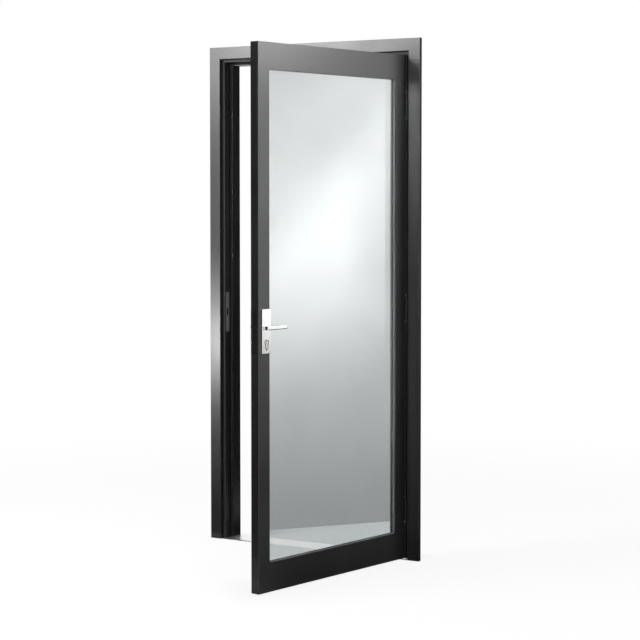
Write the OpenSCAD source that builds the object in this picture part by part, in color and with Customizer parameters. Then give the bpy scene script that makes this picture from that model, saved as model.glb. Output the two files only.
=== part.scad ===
// Aluminium casement door: a glazed leaf with a lever lock, on three butt hinges in a rebated frame.
// Origin on the floor, in the middle of the frame. +X right, +Y into the wall, +Z up. Millimetres.

/* [Frame] */
// Width over the architraves
frame_w = 1000; // [800:1:1300]
// Height over the head architrave
frame_h = 2100; // [1700:1:2600]
// Depth from the architrave's face to the back of the lining
frame_d = 120; // [110:1:180]
// Face width of the architrave
architrave_w = 50; // [40:1:70]
// Thickness of the architrave, which stands proud of the wall
architrave_t = 18; // [14:1:24]
// Width of the jamb's face between the architrave and the leaf
jamb_face_w = 13; // [10:1:20]
// Projection of the door stop from the rebate
stop_w = 12; // [11:0.5:16]
// Room for the seal between the leaf and the stop
seal_room = 5; // [4.5:0.1:7]
// Wall of the frame and leaf extrusions
wall = 2; // [1.6:0.1:2.4]
// Thickness of the threshold strip
threshold_t = 3; // [2.5:0.5:4]
// Diameter of the fixing holes in the lining
fixing_d = 8; // [6:0.5:10]

/* [Leaf] */
// How far the leaf stands open, in degrees
open_angle = 79; // [0:1:140]
// Thickness of the leaf
leaf_t = 38; // [36:1:50]
// Gap between the leaf and the frame at the sides and the head
leaf_gap = 4; // [3.8:0.1:6]
// Height of the leaf's underside above the floor
leaf_bottom = 5; // [5:0.5:10]
// Face width of the stiles
stile_w = 60; // [60:1:90]
// Face height of the top rail
top_rail_h = 100; // [70:1:160]
// Face height of the bottom rail
bottom_rail_h = 110; // [70:1:240]

/* [Glazing] */
// Thickness of each pane of the double glazing
glass_t = 4; // [3:0.5:4.5]
// Space between the panes
glass_space = 10; // [8:1:10]
// Depth of the fixed lip in front of the glass
lip_t = 2.5; // [2:0.5:3.5]
// How far the lip and the beads cover the glazing pocket
glass_cover = 12; // [10:0.5:14]
// Clearance round the edge of the glass, and thickness of the setting blocks
glass_clear = 4; // [3:0.5:5]
// Thickness of the gasket in front of the glass
front_gasket_t = 1.5; // [1:0.5:2]
// Thickness of the gasket behind the glass
rear_gasket_t = 2; // [1.5:0.5:3]

/* [Hinges] */
// Length of each hinge
hinge_h = 100; // [75:5:125]
// Radius of the knuckles
knuckle_r = 4.5; // [4:0.1:5]
// Radius of the hinge pin
pin_r = 2.45; // [2:0.05:3]
// Thickness of the flaps
flap_t = 1.8; // [1.5:0.1:1.8]
// Width of a flap from the leaf's face
flap_w = 30; // [26:1:34]
// Distance from the leaf's ends to the middle of the outer hinges
hinge_inset = 200; // [120:5:300]

/* [Lock] */
// Height of the latch and the middle of the handle plates
lock_z = 975; // [850:1:1100]
// Distance from the leaf's free edge to the spindle
backset = 32; // [30:0.5:34]
// Height of the spindle above the latch
spindle_rise = 13; // [13:0.5:15]
// Distance from the spindle down to the key cylinder
cylinder_drop = 55; // [50:1:57]
// Throw of the latch bolt
latch_throw = 10; // [8:0.5:10]
// Length of the forend and the strike plate
forend_l = 170; // [160:1:200]
// Width of the forend and the strike plate
forend_w = 24; // [20:1:26]

/* [Handle] */
// Width of the front handle plate
front_plate_w = 48; // [40:1:48]
// Width of the rear handle plate, which clears the door stop
rear_plate_w = 40; // [36:1:40]
// Height of the handle plates
plate_h = 164; // [164:1:220]
// Thickness of the handle plates
plate_t = 12; // [8:0.5:14]
// Projection of the lever from the leaf's face
lever_reach = 34; // [32:1:40]
// Length of the lever from the spindle to its tip
lever_l = 91; // [80:1:130]
// Height of the lever
lever_h = 15; // [14:0.5:20]
// Thickness of the lever's grip
lever_t = 8; // [7:0.5:12]
// Side of the square spindle
spindle_a = 8; // [7:0.5:9]

/* [Hidden] */
$fn = 48;
// Clearance of pieces that slide into one another without moving in use
slip = 0.15;
// Radial clearance of a shaft that turns in its hole
running = 0.05;
// Clearance between moving flat faces
air = 0.3;
// Overshoot of a cut past the face that it opens
cut = 1;
// Small chamfer on exposed edges
edge = 0.8;

// Insets from the frame's outer edge
rebate_i = architrave_w + jamb_face_w;
lining_i = rebate_i + stop_w;
flange_i = 14;
flange_t = 2.5;
box_i = rebate_i - 19;
lining_t = 16;
back_i = lining_i - lining_t;
mitre_reach = lining_i + 20;

// Depths behind the architrave's face
face_d = architrave_t;
stop_d = face_d + leaf_t + seal_room;
box_d = stop_d + 18;

// Seal slot in the stop, and the seal
slot_i = rebate_i + stop_w / 2;
slot_mouth = 3;
slot_mouth_d = 1.2;
slot_w = 6;
slot_d = 4;
seal_foot_w = 5.4;
seal_foot_d = 1;
seal_air = 0.4;
seal_r = (seal_room - seal_air) / 2;
seal_wall = 1;

// Leaf, in its own frame: x from the free edge, y from the front face, z from the floor
leaf_w = frame_w - 2 * (rebate_i + leaf_gap);
leaf_top = frame_h - rebate_i - leaf_gap;
leaf_h = leaf_top - leaf_bottom;
leaf_x = -frame_w / 2 + rebate_i + leaf_gap;
leaf_y = -frame_d / 2 + face_d;
sight_low = leaf_bottom + bottom_rail_h;
sight_high = leaf_top - top_rail_h;
glass_y = lip_t + front_gasket_t;
unit_t = 2 * glass_t + glass_space;
bead_y = glass_y + unit_t + rear_gasket_t;
bead_wall = 1.4;
bead_chamfer = min(8, 0.6 * (leaf_t - bead_y));
gasket_back = 1;
gasket_w = 7;
spacer_w = 6;
block_l = 100;
corner_block_l = 60;
corner_block_wall = 10;
end_cap_t = 4;

// Frame corner cleats
cleat_leg = 70;
cleat_pocket = 5;
cleat_wall = 4;
cleat_web = 8;

// Hinge axis, knuckles and screws
hinge_stand = 5;
axis_x = frame_w / 2 - rebate_i - leaf_gap / 2;
axis_y = leaf_y - hinge_stand;
knuckles = 5;
knuckle_h = hinge_h / knuckles;
pin_tip = 2.5;
pin_round = 1.2;
hinge_z = [leaf_bottom + hinge_inset, (leaf_bottom + leaf_top) / 2, leaf_top - hinge_inset];
screw_r = 1.95;
screw_head_r = 3.6;
screw_l = 13;
flap_screw_y = [9, 21];
flap_screw_z = [0.12, 0.37, 0.63, 0.88];

// Strips that cover the hinge gap between the hinges
strip_clear = hinge_h / 2 + pin_tip + air;
strip_a = 7.2;
strip_turn = 72;
strip_foot_w = 10.5;
strip_foot_t = 2.5;

// Lock case, latch and follower
spindle_z = lock_z + spindle_rise;
cylinder_z = spindle_z - cylinder_drop;
lock_y = leaf_t / 2;
forend_t = wall;
forend_corner = 4;
lug_t = 3;
lug_w = forend_w - 4;
lug_l = forend_l - 4;
case_t = 14;
case_wall = 1.2;
case_depth = stile_w - glass_cover - wall - 1;
case_half = 70;
forend_screw_z = forend_l / 2 - 8;
forend_screw_l = forend_t + lug_t + 4;
latch_w = 10;
latch_h = 28;
latch_l = 20;
latch_set = 0.3;
tail_t = 4;
tail_w = 4;
follower_r = 7.5;
arm_r = 13;
arm_t = 2;
arm_lean = 30;
tail_bar_low = arm_r + 1.5;
tail_bar_h = 5;
hook_x = backset - arm_r * sin(arm_lean) + arm_t + air + latch_throw;
hook_t = 3;
hook_h = 4;

// Strike, fixed to the jamb opposite the forend
strike_t = 1.5;
strike_hole_w = 14;
strike_hole_h = 30;
strike_box_wall = 1.2;
strike_cutout = 2;
strike_box_d = 15.5;
magnet = [3, 10, 20];
strike_screw_z = forend_l / 2 - 14;

// Handle plates, levers and the through bolts
plate_corner = 2.5;
lever_end = 16;
lever_neck = 28;
lever_fillet = 9;
lever_corner = 2;
lever_turn_r = 5;
lever_round = 3;
rear_bevel = lever_reach - plate_t - 3;
lever_tip_r = lever_t / 2 - 0.5;
lever_spigot_r = 6.9;
lever_spigot_l = plate_t - 2;
lever_socket = plate_t + 12.5;
spindle_reach = lever_socket - 1;
spindle_hole_r = 10;
bolt_r = 2.5;
bolt_head_r = 4.5;
bolt_head_t = 2.6;
bolt_z = plate_h / 2 - 6;
bolt_grip = 6;

// Key cylinder: an oval profile with a round top
profile_r = 8.5;
profile_w = 10;
profile_drop = 24.5;
plug_r = 5;
plug_tail_r = 3;
cylinder_proud = 0.5;
cylinder_margin = 3;
cam_slot = 10.2;
cam_t = 9.6;
cam_r = 7.6;
cam_lobe_r = 11;
cam_lobe_w = 6;
cam_turn = -150;
keyway = [1.8, 7, 5];

// Fixing holes
fixing_end = 250;
fixing_mid = 750;
fixing_z = [fixing_end, fixing_mid, frame_h - fixing_mid, frame_h - fixing_end];
fixing_depth = frame_d - 20;

// Threshold's sloped edges: run and rise
bevel_run = 6;
bevel_rise = 2;

// Colours
satin_black = [0.06, 0.06, 0.065];
rubber_black = [0.03, 0.03, 0.03];
bright_steel = [0.82, 0.83, 0.84];
dull_steel = [0.5, 0.51, 0.53];
pale_glass = [0.8, 0.86, 0.87, 0.6];
bright_aluminium = [0.86, 0.87, 0.88];
grey_plastic = [0.3, 0.3, 0.32];
brass_tone = [0.72, 0.6, 0.34];

// Shared shapes

function arc(x, y, r, from, to, steps = 8) =
  [for (k = [0 : steps]) let (a = from + (to - from) * k / steps) [x + r * cos(a), y + r * sin(a)]];

// A rectangle from corner to corner, with chamfered corners
module chamfered_rect(low, high, c) {
  polygon([
    [low.x + c, low.y], [high.x - c, low.y], [high.x, low.y + c], [high.x, high.y - c],
    [high.x - c, high.y], [low.x + c, high.y], [low.x, high.y - c], [low.x, low.y + c]
  ]);
}

module rect(low, high) {
  translate(low) square(high - low);
}

// A box from corner to corner
module block(low, high) {
  translate(low) cube(high - low);
}

// A rectangle about the origin with round corners
module round_rect(w, h, r) {
  square([w - 2 * r, h], center = true);
  square([w, h - 2 * r], center = true);
  for (x = [-1, 1], y = [-1, 1]) translate([x * (w / 2 - r), y * (h / 2 - r)]) circle(r);
}

// Countersunk screw along +Z with its head's face at the origin
module screw(r, head_r, head_t, length) {
  cylinder(h = head_t, r1 = head_r, r2 = r);
  translate([0, 0, head_t]) cylinder(h = length - head_t, r = r);
}

// Cross slot in a screw head
module cross_slot(size, depth) {
  for (a = [0, 90]) rotate(a) translate([-size, -size / 5, -cut]) cube([2 * size, size / 2.5, depth + cut]);
}

module slotted_screw(r, head_r, head_t, length) {
  difference() {
    screw(r, head_r, head_t, length);
    cross_slot(head_r * 0.6, head_t * 0.5);
  }
}

// Places the leaf's own frame at its open angle
module on_leaf() {
  translate([axis_x, axis_y, 0])
    rotate(open_angle)
      translate([leaf_x - axis_x, leaf_y - axis_y, 0])
        children();
}

// Extrudes a section along y from the front face backwards
module along_depth(from, length) {
  translate([0, from + length, 0]) rotate([90, 0, 0]) linear_extrude(length) children();
}

// Repeats a front fitting on the back of the leaf
module on_rear() {
  translate([0, leaf_t, 0]) mirror([0, 1, 0]) children();
}

// Frame extrusions: sections in inset and depth

module jamb_section() {
  difference() {
    polygon([
      [flange_i, face_d], [rebate_i - edge, face_d], [rebate_i, face_d + edge],
      [rebate_i, stop_d], [lining_i - edge, stop_d], [lining_i, stop_d + edge],
      [lining_i, frame_d - edge], [lining_i - edge, frame_d], [back_i, frame_d],
      [back_i, box_d], [box_i, box_d], [box_i, face_d + flange_t], [flange_i, face_d + flange_t]
    ]);
    rect([box_i + wall, face_d + wall], [rebate_i - wall, box_d - wall]);
    rect([rebate_i + wall, stop_d + slot_d + wall], [lining_i - wall, box_d - wall]);
    rect([back_i + wall, box_d], [lining_i - wall, frame_d - wall]);
    rect([slot_i - slot_mouth / 2, stop_d - cut], [slot_i + slot_mouth / 2, stop_d + slot_d]);
    rect([slot_i - slot_w / 2, stop_d + slot_mouth_d], [slot_i + slot_w / 2, stop_d + slot_d]);
  }
}

module architrave_section() {
  difference() {
    chamfered_rect([0, 0], [architrave_w, architrave_t], edge);
    rect([wall, wall], [architrave_w - wall, architrave_t - wall]);
  }
}

module seal_section() {
  difference() {
    union() {
      translate([slot_i, stop_d - seal_r]) circle(seal_r);
      rect([slot_i - seal_foot_w / 2, stop_d - seal_foot_d], [slot_i + seal_foot_w / 2, stop_d]);
      rect([slot_i - slot_mouth / 2 + slip, stop_d - seal_foot_d],
           [slot_i + slot_mouth / 2 - slip, stop_d + slot_d - slip]);
      rect([slot_i - slot_w / 2 + slip, stop_d + slot_mouth_d + slip],
           [slot_i + slot_w / 2 - slip, stop_d + slot_d - slip]);
    }
    translate([slot_i, stop_d - seal_r]) circle(seal_r - seal_wall);
  }
}

// Upright on the left from a height above the floor, cut to a mitre at the head
module left_upright(from = 0) {
  intersection() {
    translate([-frame_w / 2, -frame_d / 2, from]) linear_extrude(frame_h - from) children();
    along_depth(-frame_d, 2 * frame_d)
      polygon([
        [-frame_w / 2 - cut, -cut], [-frame_w / 2 + mitre_reach, -cut],
        [-frame_w / 2 + mitre_reach, frame_h - mitre_reach], [-frame_w / 2 - cut, frame_h + cut]
      ]);
  }
}

module right_upright(from = 0) {
  mirror([1, 0, 0]) left_upright(from) children();
}

// Head, mitred at both ends
module head() {
  intersection() {
    translate([-frame_w / 2, -frame_d / 2, frame_h]) rotate([0, 90, 0]) linear_extrude(frame_w) children();
    along_depth(-frame_d, 2 * frame_d)
      polygon([
        [-frame_w / 2 - cut, frame_h + cut], [frame_w / 2 + cut, frame_h + cut],
        [frame_w / 2 - mitre_reach, frame_h - mitre_reach],
        [-frame_w / 2 + mitre_reach, frame_h - mitre_reach]
      ]);
  }
}

// Holes through the lining for the wall fixings, on the left
module fixing_holes() {
  for (z = fixing_z)
    translate([-frame_w / 2 + back_i - cut, -frame_d / 2 + fixing_depth, z])
      rotate([0, 90, 0]) cylinder(h = lining_t + 2 * cut, d = fixing_d);
}

// Runs children at each strike screw, with z into the jamb
module at_strike_screws() {
  for (s = [-1, 1])
    translate([-frame_w / 2 + rebate_i + strike_t, leaf_y + lock_y, lock_z + s * strike_screw_z])
      rotate([0, -90, 0]) children();
}

module left_jamb() {
  color(satin_black)
    difference() {
      left_upright() jamb_section();
      fixing_holes();
      translate([-frame_w / 2 + rebate_i, leaf_y + lock_y, lock_z])
        cube([2 * wall + 2 * cut, strike_hole_w + 2 * strike_cutout, strike_hole_h + 2 * strike_cutout],
             center = true);
      at_strike_screws() cylinder(h = screw_l, r = screw_r + running);
    }
}

module right_jamb() {
  color(satin_black)
    difference() {
      right_upright() jamb_section();
      mirror([1, 0, 0]) fixing_holes();
      for (z = hinge_z)
        at_frame_flap(z) at_flap_screws() cylinder(h = screw_l + cut, r = screw_r + running);
    }
}

module head_jamb() {
  color(satin_black) head() jamb_section();
}

module left_architrave() {
  color(satin_black) left_upright() architrave_section();
}

module right_architrave() {
  color(satin_black) right_upright() architrave_section();
}

module head_architrave() {
  color(satin_black) head() architrave_section();
}

module left_frame_seal() {
  color(rubber_black) left_upright(threshold_t + slip) seal_section();
}

module right_frame_seal() {
  color(rubber_black) right_upright(threshold_t + slip) seal_section();
}

module head_frame_seal() {
  color(rubber_black) head() seal_section();
}

// Angle pieces that join the jambs to the head inside their chambers
module frame_corner_cleats() {
  low = box_i + wall + slip;
  high = rebate_i - wall - slip;
  deep = box_d - face_d - 2 * wall - 2 * slip;
  color(dull_steel)
    for (side = [0, 1])
      mirror([side, 0, 0])
        translate([-frame_w / 2, -frame_d / 2 + face_d + wall + slip, frame_h])
          difference() {
            along_depth(0, deep)
              polygon([
                [low, -low], [high + cleat_leg, -low], [high + cleat_leg, -high],
                [high, -high], [high, -high - cleat_leg], [low, -high - cleat_leg]
              ]);
            for (turn = [0, 1])
              mirror([turn, 0, turn])
                block([low + cleat_wall, cleat_pocket, -high - cleat_leg - cut],
                      [high - cleat_wall, deep - cleat_pocket, -high - cleat_web]);
          }
}

// Flat strip on the floor, notched round the jambs and the stops
module threshold() {
  function side(s) = [
    [s * (frame_w / 2 - architrave_w - slip), 0],
    [s * (frame_w / 2 - architrave_w - slip), face_d - slip],
    [s * (frame_w / 2 - rebate_i - slip), face_d - slip],
    [s * (frame_w / 2 - rebate_i - slip), stop_d - slip],
    [s * (frame_w / 2 - lining_i - slip), stop_d - slip], [s * (frame_w / 2 - lining_i - slip), frame_d]
  ];
  right = side(1);
  color(bright_aluminium)
    intersection() {
      translate([0, -frame_d / 2, 0])
        linear_extrude(threshold_t) polygon(concat(side(-1), [for (k = [5 : -1 : 0]) right[k]]));
      translate([-frame_w / 2, -frame_d / 2, 0]) rotate([90, 0, 90]) linear_extrude(frame_w)
        polygon([[0, 0], [0, threshold_t - bevel_rise], [bevel_run, threshold_t],
                 [frame_d - bevel_run, threshold_t], [frame_d, threshold_t - bevel_rise], [frame_d, 0]]);
    }
}

// Strike plate, box and magnet

// Frame at the strike: x into the doorway from the rebate face, z up from the latch
module at_strike() {
  translate([-frame_w / 2 + rebate_i, leaf_y + lock_y, lock_z]) children();
}

module strike_plate() {
  color(dull_steel)
    difference() {
      at_strike() rotate([0, 90, 0]) linear_extrude(strike_t) round_rect(forend_l, forend_w, forend_corner);
      at_strike() cube([4 * strike_t, strike_hole_w, strike_hole_h], center = true);
      at_strike_screws() screw(screw_r + running, screw_head_r + running, strike_t, strike_t + cut);
    }
}

module strike_box() {
  wide = strike_hole_w + 2 * strike_box_wall;
  tall = strike_hole_h + 2 * strike_box_wall;
  color(grey_plastic)
    at_strike()
      difference() {
        block([-strike_box_d, -wide / 2, -tall / 2], [0, wide / 2, tall / 2]);
        block([-strike_box_d + strike_box_wall, -strike_hole_w / 2, -strike_hole_h / 2],
              [cut, strike_hole_w / 2, strike_hole_h / 2]);
      }
}

module strike_magnet() {
  color(brass_tone)
    at_strike()
      translate([-strike_box_d + strike_box_wall, -magnet.y / 2, -magnet.z / 2]) cube(magnet);
}

module strike_screws() {
  color(dull_steel)
    at_strike_screws() slotted_screw(screw_r, screw_head_r, strike_t, screw_l);
}

// Butt hinges, drawn with the leaf shut and z from the hinge's lower end

module at_frame_flap(z) {
  translate([axis_x, axis_y, z - hinge_h / 2]) children();
}

// The leaf's flap is the frame's flap mirrored about the pin, then swung with the leaf
module at_leaf_flap(z) {
  translate([axis_x, axis_y, z - hinge_h / 2]) rotate(open_angle) mirror([1, 0, 0]) children();
}

// Runs children at each screw of a flap, with z into the carrier
module at_flap_screws() {
  for (k = [0 : 3])
    translate([leaf_gap / 2 - flap_t, hinge_stand + flap_screw_y[k % 2], flap_screw_z[k] * hinge_h])
      rotate([0, 90, 0]) children();
}

// A plate in the gap with every second knuckle on its front edge
module flap(first) {
  x0 = leaf_gap / 2 - flap_t;
  difference() {
    union() {
      block([x0, hinge_stand, 0], [leaf_gap / 2, hinge_stand + flap_w, hinge_h]);
      for (k = [first : 2 : knuckles - 1])
        translate([0, 0, k * knuckle_h + slip]) {
          cylinder(h = knuckle_h - 2 * slip, r = knuckle_r);
          block([x0, 0, 0], [leaf_gap / 2, hinge_stand + cut, knuckle_h - 2 * slip]);
        }
    }
    translate([0, 0, -cut]) cylinder(h = hinge_h + 2 * cut, r = pin_r + running);
    at_flap_screws() screw(screw_r + running, screw_head_r + running, flap_t, flap_t + cut);
  }
}

module frame_flap(z) {
  color(satin_black) at_frame_flap(z) flap(0);
}

module leaf_flap(z) {
  color(satin_black) at_leaf_flap(z) flap(1);
}

// Pin with a button at each end
module hinge_pin(z) {
  color(satin_black)
    at_frame_flap(z)
      rotate_extrude()
        polygon(concat(
          [[0, -pin_tip], [knuckle_r - pin_round, -pin_tip]],
          arc(knuckle_r - pin_round, -pin_tip + pin_round, pin_round, -90, 0, 4),
          [[knuckle_r, 0], [pin_r, 0], [pin_r, hinge_h], [knuckle_r, hinge_h]],
          arc(knuckle_r - pin_round, hinge_h + pin_tip - pin_round, pin_round, 0, 90, 4),
          [[0, hinge_h + pin_tip]]
        ));
}

module frame_flap_screws() {
  color(satin_black)
    for (z = hinge_z)
      at_frame_flap(z) at_flap_screws() slotted_screw(screw_r, screw_head_r, flap_t, screw_l);
}

module leaf_flap_screws() {
  color(satin_black)
    for (z = hinge_z)
      at_leaf_flap(z) at_flap_screws() slotted_screw(screw_r, screw_head_r, flap_t, screw_l);
}

// Strips on the jamb's face that close the hinge gap between the hinges, a square bar on a foot
module hinge_cover_strips() {
  ends = concat([leaf_bottom], [for (z = hinge_z, s = [-1, 1]) z + s * strip_clear], [leaf_top]);
  color(satin_black)
    for (k = [0 : 2 : len(ends) - 2])
      translate([axis_x, axis_y, ends[k]])
        linear_extrude(ends[k + 1] - ends[k]) {
          rotate(strip_turn) square(strip_a, center = true);
          rect([0, hinge_stand - strip_foot_t], [strip_foot_w, hinge_stand]);
        }
}

// Leaf extrusions: a box with a lip in front of the glazing pocket

module leaf_outline(face) {
  pocket = face - glass_cover;
  polygon([
    [edge, 0], [face, 0], [face, lip_t], [pocket, lip_t], [pocket, leaf_t], [edge, leaf_t],
    [0, leaf_t - edge], [0, edge]
  ]);
}

module leaf_chamber(face, inset = wall) {
  rect([inset, inset], [face - glass_cover - inset, leaf_t - inset]);
}

module leaf_section(face) {
  difference() {
    leaf_outline(face);
    leaf_chamber(face);
  }
}

module lock_side(z = leaf_bottom, h = leaf_h) {
  translate([0, 0, z]) linear_extrude(h) children();
}

module hinge_side(z = leaf_bottom, h = leaf_h) {
  translate([leaf_w, 0, 0]) mirror([1, 0, 0]) lock_side(z, h) children();
}

// Sections along the rails, from one pocket floor to the other unless told
module bottom_run(from = stile_w - glass_cover, to = leaf_w - stile_w + glass_cover) {
  translate([to, 0, leaf_bottom]) rotate([0, -90, 0]) linear_extrude(to - from) children();
}

module top_run(from = stile_w - glass_cover, to = leaf_w - stile_w + glass_cover) {
  translate([from, 0, leaf_top]) rotate([0, 90, 0]) linear_extrude(to - from) children();
}

module both_stiles() {
  lock_side(leaf_bottom - cut, leaf_h + 2 * cut) leaf_outline(stile_w);
  hinge_side(leaf_bottom - cut, leaf_h + 2 * cut) leaf_outline(stile_w);
}

// The oval profile of a key cylinder, grown by a clearance
module cylinder_profile(grow) {
  circle(profile_r + grow);
  translate([-profile_w / 2 - grow, -profile_drop + profile_w / 2])
    square([profile_w + 2 * grow, profile_drop - profile_w / 2]);
  translate([0, -profile_drop + profile_w / 2]) circle(profile_w / 2 + grow);
}

module at_cylinder() {
  translate([backset, 0, cylinder_z]) children();
}

module at_spindle() {
  translate([backset, 0, spindle_z]) children();
}

// Runs children at each handle bolt, with z from the rear plate to the front
module at_bolts() {
  for (s = [-1, 1])
    translate([backset, leaf_t + plate_t, lock_z + s * bolt_z]) rotate([90, 0, 0]) children();
}

module lock_stile() {
  color(satin_black)
    on_leaf()
      difference() {
        lock_side() leaf_section(stile_w);
        translate([-cut, lock_y, lock_z])
          rotate([0, 90, 0]) linear_extrude(wall + 2 * cut)
            round_rect(forend_l + 2 * slip, forend_w + 2 * slip, forend_corner);
        at_spindle() along_depth(-cut, leaf_t + 2 * cut) circle(spindle_hole_r);
        at_cylinder() along_depth(-cut, leaf_t + 2 * cut) cylinder_profile(2 * air);
        at_bolts() cylinder(h = leaf_t + 2 * plate_t, r = bolt_r + air);
      }
}

module hinge_stile() {
  color(satin_black)
    difference() {
      on_leaf() hinge_side() leaf_section(stile_w);
      for (z = hinge_z) at_leaf_flap(z) at_flap_screws() cylinder(h = screw_l + cut, r = screw_r + running);
    }
}

module top_rail() {
  color(satin_black)
    on_leaf()
      difference() {
        top_run() leaf_section(top_rail_h);
        both_stiles();
      }
}

module bottom_rail() {
  color(satin_black)
    on_leaf()
      difference() {
        bottom_run() leaf_section(bottom_rail_h);
        both_stiles();
      }
}

// Blocks inside the rail ends, which tie the rails to the stiles
module leaf_corner_blocks() {
  start = stile_w - glass_cover;
  back = leaf_t - wall - slip;
  color(dull_steel)
    on_leaf()
      for (x = [start, leaf_w - start - corner_block_l],
           z = [[leaf_bottom + wall + slip, sight_low - glass_cover - wall - slip],
                [sight_high + glass_cover + wall + slip, leaf_top - wall - slip]])
        difference() {
          block([x, lip_t + slip, z[0]], [x + corner_block_l, back, z[1]]);
          translate([x + corner_block_l / 2, 0, (z[0] + z[1]) / 2])
            along_depth(0, leaf_t) circle(corner_block_l / 2 - corner_block_wall);
        }
}

// Plugs in the open ends of the stiles
module stile_end_caps() {
  color(grey_plastic)
    on_leaf()
      for (z = [leaf_bottom, leaf_top - end_cap_t]) {
        lock_side(z, end_cap_t) leaf_chamber(stile_w, wall + slip);
        hinge_side(z, end_cap_t) leaf_chamber(stile_w, wall + slip);
      }
}

// Glazing

// A rectangle in the leaf's plane, grown outwards from the sight lines
module sight_rect(grow) {
  translate([stile_w - grow, sight_low - grow])
    square([leaf_w - 2 * stile_w + 2 * grow, sight_high - sight_low + 2 * grow]);
}

module edge_ring(from, thick, w) {
  along_depth(from, thick)
    difference() {
      sight_rect(gasket_back + w);
      sight_rect(gasket_back);
    }
}

module pane(from) {
  along_depth(from, glass_t) sight_rect(glass_cover - glass_clear);
}

module glass_pane() {
  color(pale_glass) on_leaf() pane(glass_y);
}

module rear_glass_pane() {
  color(pale_glass) on_leaf() pane(glass_y + glass_t + glass_space);
}

// Bar that holds the panes apart round their edge
module glass_spacer() {
  color(bright_aluminium) on_leaf() edge_ring(glass_y + glass_t, glass_space, spacer_w);
}

module front_glazing_gasket() {
  color(rubber_black) on_leaf() edge_ring(lip_t, front_gasket_t, gasket_w);
}

module rear_glazing_gasket() {
  color(rubber_black) on_leaf() edge_ring(glass_y + unit_t, rear_gasket_t, gasket_w);
}

// Hollow bead: its foot on the pocket floor, its face to the room
module bead_section(floor) {
  difference() {
    polygon([
      [floor, bead_y], [floor + glass_cover, bead_y], [floor + glass_cover, leaf_t - bead_chamfer],
      [floor + glass_cover - bead_chamfer, leaf_t], [floor, leaf_t]
    ]);
    polygon([
      [floor + bead_wall, bead_y + bead_wall],
      [floor + glass_cover - bead_wall, bead_y + bead_wall],
      [floor + glass_cover - bead_wall, leaf_t - bead_chamfer - bead_wall / 2],
      [floor + glass_cover - bead_chamfer - bead_wall / 2, leaf_t - bead_wall],
      [floor + bead_wall, leaf_t - bead_wall]
    ]);
  }
}

module lock_side_bead() {
  color(satin_black)
    on_leaf() lock_side(sight_low, sight_high - sight_low) bead_section(stile_w - glass_cover);
}

module hinge_side_bead() {
  color(satin_black)
    on_leaf() hinge_side(sight_low, sight_high - sight_low) bead_section(stile_w - glass_cover);
}

module top_bead() {
  color(satin_black) on_leaf() top_run() bead_section(top_rail_h - glass_cover);
}

module bottom_bead() {
  color(satin_black) on_leaf() bottom_run() bead_section(bottom_rail_h - glass_cover);
}

// Blocks that carry the glass on the floor of the bottom pocket
module setting_blocks() {
  floor = sight_low - glass_cover;
  color(grey_plastic)
    on_leaf()
      for (x = [leaf_w / 4, leaf_w * 3 / 4])
        block([x - block_l / 2, glass_y, floor], [x + block_l / 2, glass_y + unit_t, floor + glass_clear]);
}

// Mortise lock

// The latch's section through the forend, grown by a clearance
module latch_hole(from, length, grow) {
  translate([from, lock_y - latch_w / 2 - grow, lock_z - latch_h / 2 - grow])
    cube([length, latch_w + 2 * grow, latch_h + 2 * grow]);
}

// Runs children at each forend screw, with z into the leaf
module at_forend_screws() {
  for (s = [-1, 1])
    translate([0, lock_y, lock_z + s * forend_screw_z]) rotate([0, 90, 0]) children();
}

module lock_case() {
  y0 = lock_y - case_t / 2;
  y1 = lock_y + case_t / 2;
  color(dull_steel)
    on_leaf()
      difference() {
        union() {
          block([forend_t + lug_t, y0, lock_z - case_half], [case_depth, y1, lock_z + case_half]);
          block([forend_t, lock_y - lug_w / 2, lock_z - lug_l / 2],
                [forend_t + lug_t, lock_y + lug_w / 2, lock_z + lug_l / 2]);
        }
        block([forend_t + lug_t, y0 + case_wall, lock_z - case_half + case_wall],
              [case_depth - case_wall, y1 - case_wall, lock_z + case_half - case_wall]);
        latch_hole(0, forend_t + lug_t + cut, air);
        at_forend_screws() cylinder(h = screw_l + cut, r = screw_r + running);
        at_spindle() along_depth(0, leaf_t) circle(follower_r + running);
        at_cylinder() along_depth(0, leaf_t) cylinder_profile(air);
        translate([0, lock_y, cylinder_z - profile_drop + profile_w / 2])
          rotate([0, 90, 0]) cylinder(h = forend_t + lug_t + cut, r = bolt_r + running);
      }
}

module lock_forend() {
  color(satin_black)
    on_leaf()
      difference() {
        translate([0, lock_y, lock_z])
          rotate([0, 90, 0]) linear_extrude(forend_t) round_rect(forend_l, forend_w, forend_corner);
        latch_hole(-cut, forend_t + 2 * cut, air);
        at_forend_screws() screw(screw_r + running, screw_head_r + running, forend_t, forend_t + cut);
        translate([-cut, lock_y, cylinder_z - profile_drop + profile_w / 2])
          rotate([0, 90, 0]) cylinder(h = forend_t + 2 * cut, r = bolt_head_r + running);
      }
}

module forend_screws() {
  color(satin_black)
    on_leaf() at_forend_screws() slotted_screw(screw_r, screw_head_r, forend_t, forend_screw_l);
}

// Latch tongue with a tail that reaches over the follower to its hook
module latch_bolt() {
  bar_z = spindle_z + tail_bar_low;
  tail_x = latch_set + latch_l - tail_w;
  tail_low = lock_y - tail_t / 2;
  tail_high = lock_y + tail_t / 2;
  color(satin_black)
    on_leaf()
      union() {
        latch_hole(latch_set, latch_l, 0);
        block([tail_x, tail_low, lock_z], [tail_x + tail_w, tail_high, bar_z + tail_bar_h]);
        block([tail_x, tail_low, bar_z], [hook_x + hook_t, tail_high, bar_z + tail_bar_h]);
        block([hook_x, tail_low, bar_z - hook_h], [hook_x + hook_t, tail_high, bar_z + cut]);
      }
}

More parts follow.
